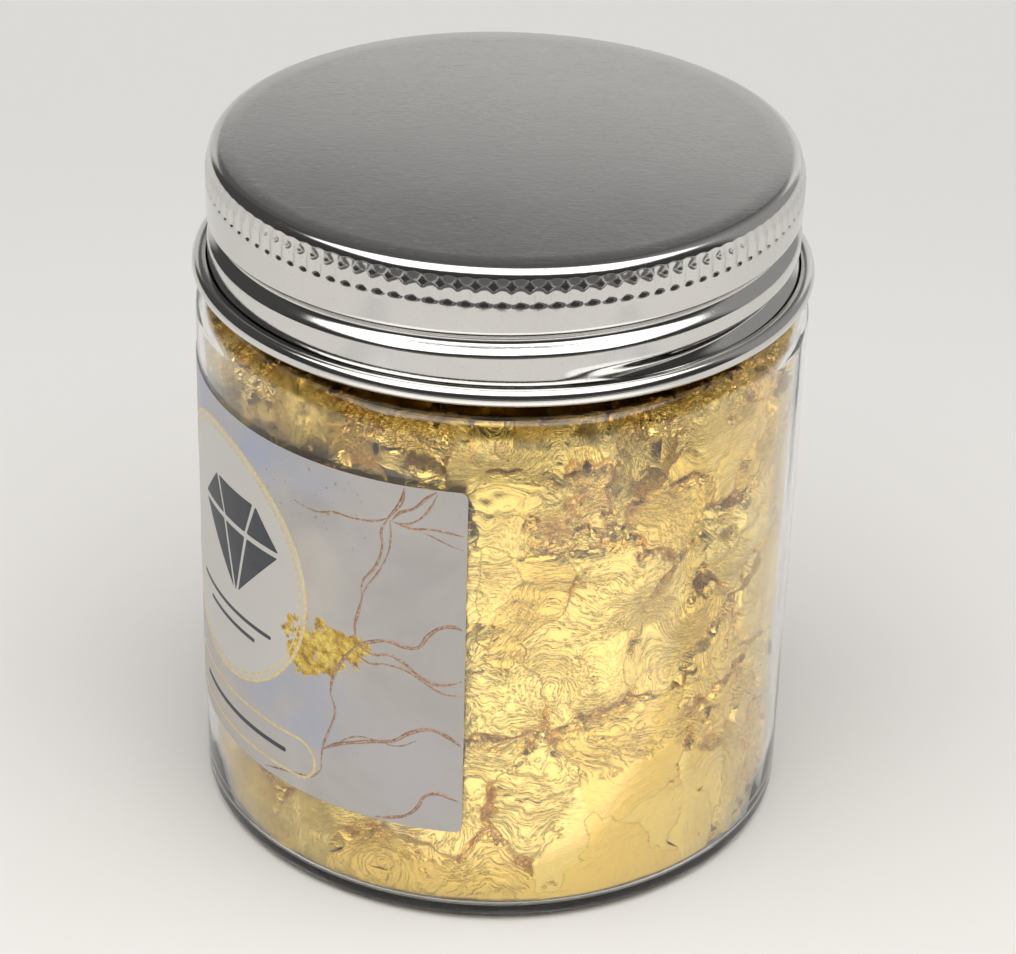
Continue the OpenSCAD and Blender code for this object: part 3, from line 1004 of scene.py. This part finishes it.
def base_rule(a, b):
    """The leaf that lies on the jar's floor and shows through its base."""
    turn = 360 * a
    r = 32.4 * b
    x, y = r * np.cos(np.radians(turn)), r * np.sin(np.radians(turn))
    depth, fu, fv, looks = crumple(x, y, 24, calm_patches(x, y), 1)
    depth = close_round(depth, a, b)
    rest = 3.75 - 2.2 * ramp(r, 26.5, 30.5) + 1.6 * ramp(r, 31.6, 32.4)
    return np.stack([x, y, rest + np.clip(depth, 0, 1.2)], 1) * MM, fu, fv, looks


base_leaf = leaf_grid("leaf_base", 300, 140, base_rule)
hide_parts("packed_leaf")


def one_flake():
    """A small torn flake with a fold across it, as a grid of a few faces."""
    bpy.ops.object.select_all(action="DESELECT")
    bpy.ops.mesh.primitive_grid_add(x_subdivisions=FLAKE_CUTS, y_subdivisions=FLAKE_CUTS, size=1)
    flake = settle(bpy.context.object, "flake", gold)
    at = places(flake)
    at[:, 0] += 0.14 * at[:, 1] + 0.10 * chance.standard_normal(len(at))
    at[:, 1] += 0.10 * chance.standard_normal(len(at))
    at[:, 2] = 0.22 * np.abs(at[:, 0] + 0.4 * at[:, 1]) + 0.06 * chance.standard_normal(len(at))
    faces = [tuple(p.vertices) for p in flake.data.polygons]
    bpy.data.objects.remove(flake)
    return at, faces


def strew(name, frames):
    """Lays copies of torn flakes about: each frame is a middle and the two ways it spreads."""
    models = [one_flake() for _ in range(FLAKE_MODELS)]
    points, faces, tones = [], [], []
    for k, (middle, along, across, up) in enumerate(frames):
        at, its_faces = models[k % FLAKE_MODELS]
        base = k * FLAKE_POINTS
        points.append(middle + at @ np.array([along, across, up]))
        faces += [tuple(base + i for i in f) for f in its_faces]
        tones += [chance.random()] * FLAKE_POINTS
    points = np.concatenate(points)
    mesh = bpy.data.meshes.new(name)
    mesh.from_pydata([tuple(p) for p in points], [], faces)
    flakes = bpy.data.objects.new(name, mesh)
    bpy.context.scene.collection.objects.link(flakes)
    mesh.materials.append(gold)
    pattern = mesh.uv_layers.new(name="flake")
    corner = np.zeros(len(mesh.loops), np.int32)
    mesh.loops.foreach_get("vertex_index", corner)
    at = points[corner] / MM
    uv = np.stack([at[:, 0] + at[:, 1], at[:, 2]], 1)
    pattern.data.foreach_set("uv", uv.astype(np.float32).ravel())
    # Each flake gets a fixed gap of 0.4, so the gold's painted gap shade darkens every flake a little.
    tell(mesh, {"tone": np.array(tones), "gap": np.full(len(tones), 0.4)})
    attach(flakes, "jar")
    return flakes


def wall_frames(count, low, high, inset, lean, sizes):
    """Places for flakes at the wall, each leaning a little out of it."""
    made = []
    for _ in range(count):
        turn = math.radians(chance.uniform(0, 360))
        z = chance.uniform(low, high)
        out = np.array([math.sin(turn), -math.cos(turn), 0])
        side = np.array([math.cos(turn), math.sin(turn), 0])
        up = np.array([0, 0, 1.0])
        spin = chance.uniform(0, 2 * math.pi)
        along = side * math.cos(spin) + up * math.sin(spin)
        across = up * math.cos(spin) - side * math.sin(spin)
        along = along + out * chance.uniform(-lean, lean)
        across = across + out * chance.uniform(-lean, lean)
        size = chance.uniform(*sizes) * MM
        middle = out * chance.uniform(*inset) * MM + up * z * MM
        made.append((middle, along * size, across * size * chance.uniform(0.4, 1), out * -size))
    return made


def inside_jar(at):
    """Keeps flakes clear of the wall."""
    turn, radius, z = round_places(at)
    return on_round(turn, np.minimum(radius, neck_room(z) - 0.08 * MM), z)


wall_flakes = strew("leaf_flakes", wall_frames(520, 3, 61, (32.1, 32.7), 0.15, (0.7, 2.4)))
reshape(wall_flakes, inside_jar)
neck_flakes = strew("leaf_neck_flakes", wall_frames(900, 59, 69, (28.4, 32.2), 0.6, (0.8, 2.6)))
reshape(neck_flakes, inside_jar)


def heap_frames(count):
    """Places for the curled flakes that lie loose on the heap."""
    made = []
    for _ in range(count):
        turn = chance.uniform(0, 2 * math.pi)
        r = 26.5 * math.sqrt(chance.random()) * MM
        spin = chance.uniform(0, 2 * math.pi)
        size = chance.uniform(2, 9) * MM
        along = np.array([math.cos(spin), math.sin(spin), chance.uniform(-0.3, 0.3)]) * size
        across = np.array([-math.sin(spin), math.cos(spin), chance.uniform(-0.3, 0.3)]) * size
        middle = np.array([r * math.cos(turn), r * math.sin(turn), chance.uniform(68.8, 70.6) * MM])
        made.append((middle, along, across * 0.8, np.array([0, 0, 0.4 * size])))
    return made


loose_flakes = strew("leaf_curls", heap_frames(150))
reshape(loose_flakes, inside_jar)
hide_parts("loose_leaf")
